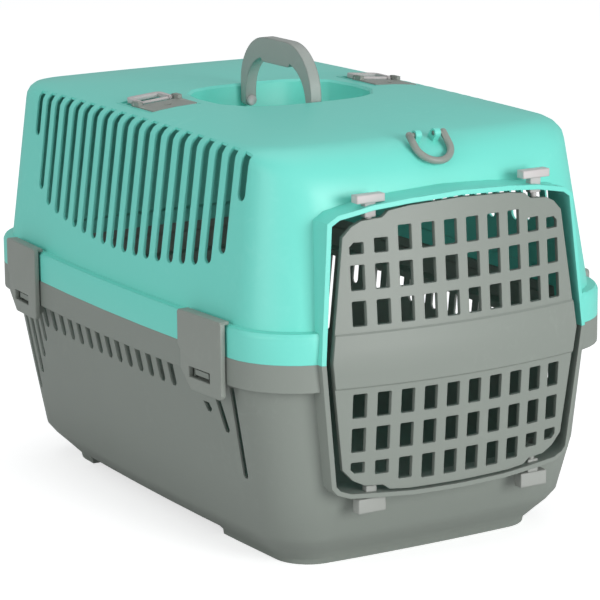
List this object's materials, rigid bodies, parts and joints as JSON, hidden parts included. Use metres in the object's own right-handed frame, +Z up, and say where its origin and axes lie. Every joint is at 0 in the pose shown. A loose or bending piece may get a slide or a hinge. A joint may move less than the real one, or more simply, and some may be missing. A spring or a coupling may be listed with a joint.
{
  "type": "plastic pet carrier",
  "caption": "Two-part moulded pet carrier with a vented cover, side clips, a curved grille door on draw bolts, a fold-down carry handle, roof loops and a front bail.",
  "frame": {"origin": "centre of the whole carrier in plan, on the surface the feet stand on", "axes": "+Z up; the grille door faces -Y; +X is the right-hand side seen from in front of the door"},
  "size_m": [0.3748, 0.5605, 0.405],
  "materials": {
    "tub_grey": "fine satin moulded polypropylene, warm grey",
    "cover_teal": "fine satin moulded polypropylene, mint turquoise",
    "door_grey": "satin moulded polypropylene, mid grey",
    "clip_grey": "satin moulded plastic, mid grey",
    "pale_grey": "satin moulded plastic, pale grey"
  },
  "bodies": {
    "carrier_body": {"base_tub": "tub_grey", "top_cover": "cover_teal", "handle_pin_front": "pale_grey", "handle_pin_rear": "pale_grey", "strap_plate_left": "clip_grey", "strap_plate_right": "clip_grey", "strap_pin_left": "pale_grey", "strap_pin_right": "pale_grey"},
    "door": {"door_panel": "door_grey"},
    "handle": {"carry_handle": "clip_grey"},
    "bail": {"front_bail": "clip_grey"},
    "loop_left": {"strap_loop_left": "pale_grey"},
    "loop_right": {"strap_loop_right": "pale_grey"},
    "bolt_top_left": {"door_bolt_top_left": "pale_grey"},
    "bolt_top_right": {"door_bolt_top_right": "pale_grey"},
    "bolt_bottom_left": {"door_bolt_bottom_left": "pale_grey"},
    "bolt_bottom_right": {"door_bolt_bottom_right": "pale_grey"},
    "clip_front_left_body": {"clip_front_left": "clip_grey"},
    "clip_front_right_body": {"clip_front_right": "clip_grey"},
    "clip_rear_left_body": {"clip_rear_left": "clip_grey"},
    "clip_rear_right_body": {"clip_rear_right": "clip_grey"}
  },
  "joints": [
    {"name": "door_hinge", "type": "hinge", "parent": "carrier_body", "child": "door", "pos_m": [-0.08, -0.25738, 0.187], "axis": [0, 0, -1], "range_deg": [0, 110]},
    {"name": "bolt_top_left_slide", "type": "slide", "parent": "carrier_body", "child": "bolt_top_left", "axis": [0, 0, 1], "range_m": [0, 0.0095]},
    {"name": "bolt_top_right_slide", "type": "slide", "parent": "carrier_body", "child": "bolt_top_right", "axis": [0, 0, -1], "range_m": [0, 0.0035]},
    {"name": "bolt_bottom_left_slide", "type": "slide", "parent": "carrier_body", "child": "bolt_bottom_left", "axis": [0, 0, -1], "range_m": [0, 0.0095]},
    {"name": "bolt_bottom_right_slide", "type": "slide", "parent": "carrier_body", "child": "bolt_bottom_right", "axis": [0, 0, 1], "range_m": [0, 0.0035]},
    {"name": "clip_front_left_hinge", "type": "hinge", "parent": "carrier_body", "child": "clip_front_left_body", "pos_m": [-0.17565, -0.16401, 0.156], "axis": [0.0598, -0.9982, 0], "range_deg": [0, 100]},
    {"name": "clip_front_right_hinge", "type": "hinge", "parent": "carrier_body", "child": "clip_front_right_body", "pos_m": [0.17565, -0.16401, 0.156], "axis": [0.0598, 0.9982, 0], "range_deg": [0, 100]},
    {"name": "clip_rear_left_hinge", "type": "hinge", "parent": "carrier_body", "child": "clip_rear_left_body", "pos_m": [-0.17611, 0.17102, 0.156], "axis": [-0.0572, -0.9984, 0], "range_deg": [0, 100]},
    {"name": "clip_rear_right_hinge", "type": "hinge", "parent": "carrier_body", "child": "clip_rear_right_body", "pos_m": [0.17611, 0.17102, 0.156], "axis": [-0.0572, 0.9984, 0], "range_deg": [0, 100]},
    {"name": "handle_fold", "type": "hinge", "parent": "carrier_body", "child": "handle", "pos_m": [0, 0.01625, 0.344], "axis": [0, 1, 0], "range_deg": [-85, 85]},
    {"name": "bail_hinge", "type": "hinge", "parent": "carrier_body", "child": "bail", "pos_m": [0, -0.21912, 0.35433], "axis": [-1, 0, 0], "range_deg": [0, 100]},
    {"name": "loop_left_hinge", "type": "hinge", "parent": "carrier_body", "child": "loop_left", "pos_m": [-0.11304, 0.03975, 0.35771], "axis": [0.9962, 0, 0.0872], "range_deg": [0, 100]},
    {"name": "loop_right_hinge", "type": "hinge", "parent": "carrier_body", "child": "loop_right", "pos_m": [0.11304, 0.03975, 0.35771], "axis": [0.9962, 0, -0.0872], "range_deg": [0, 100]}
  ]
}
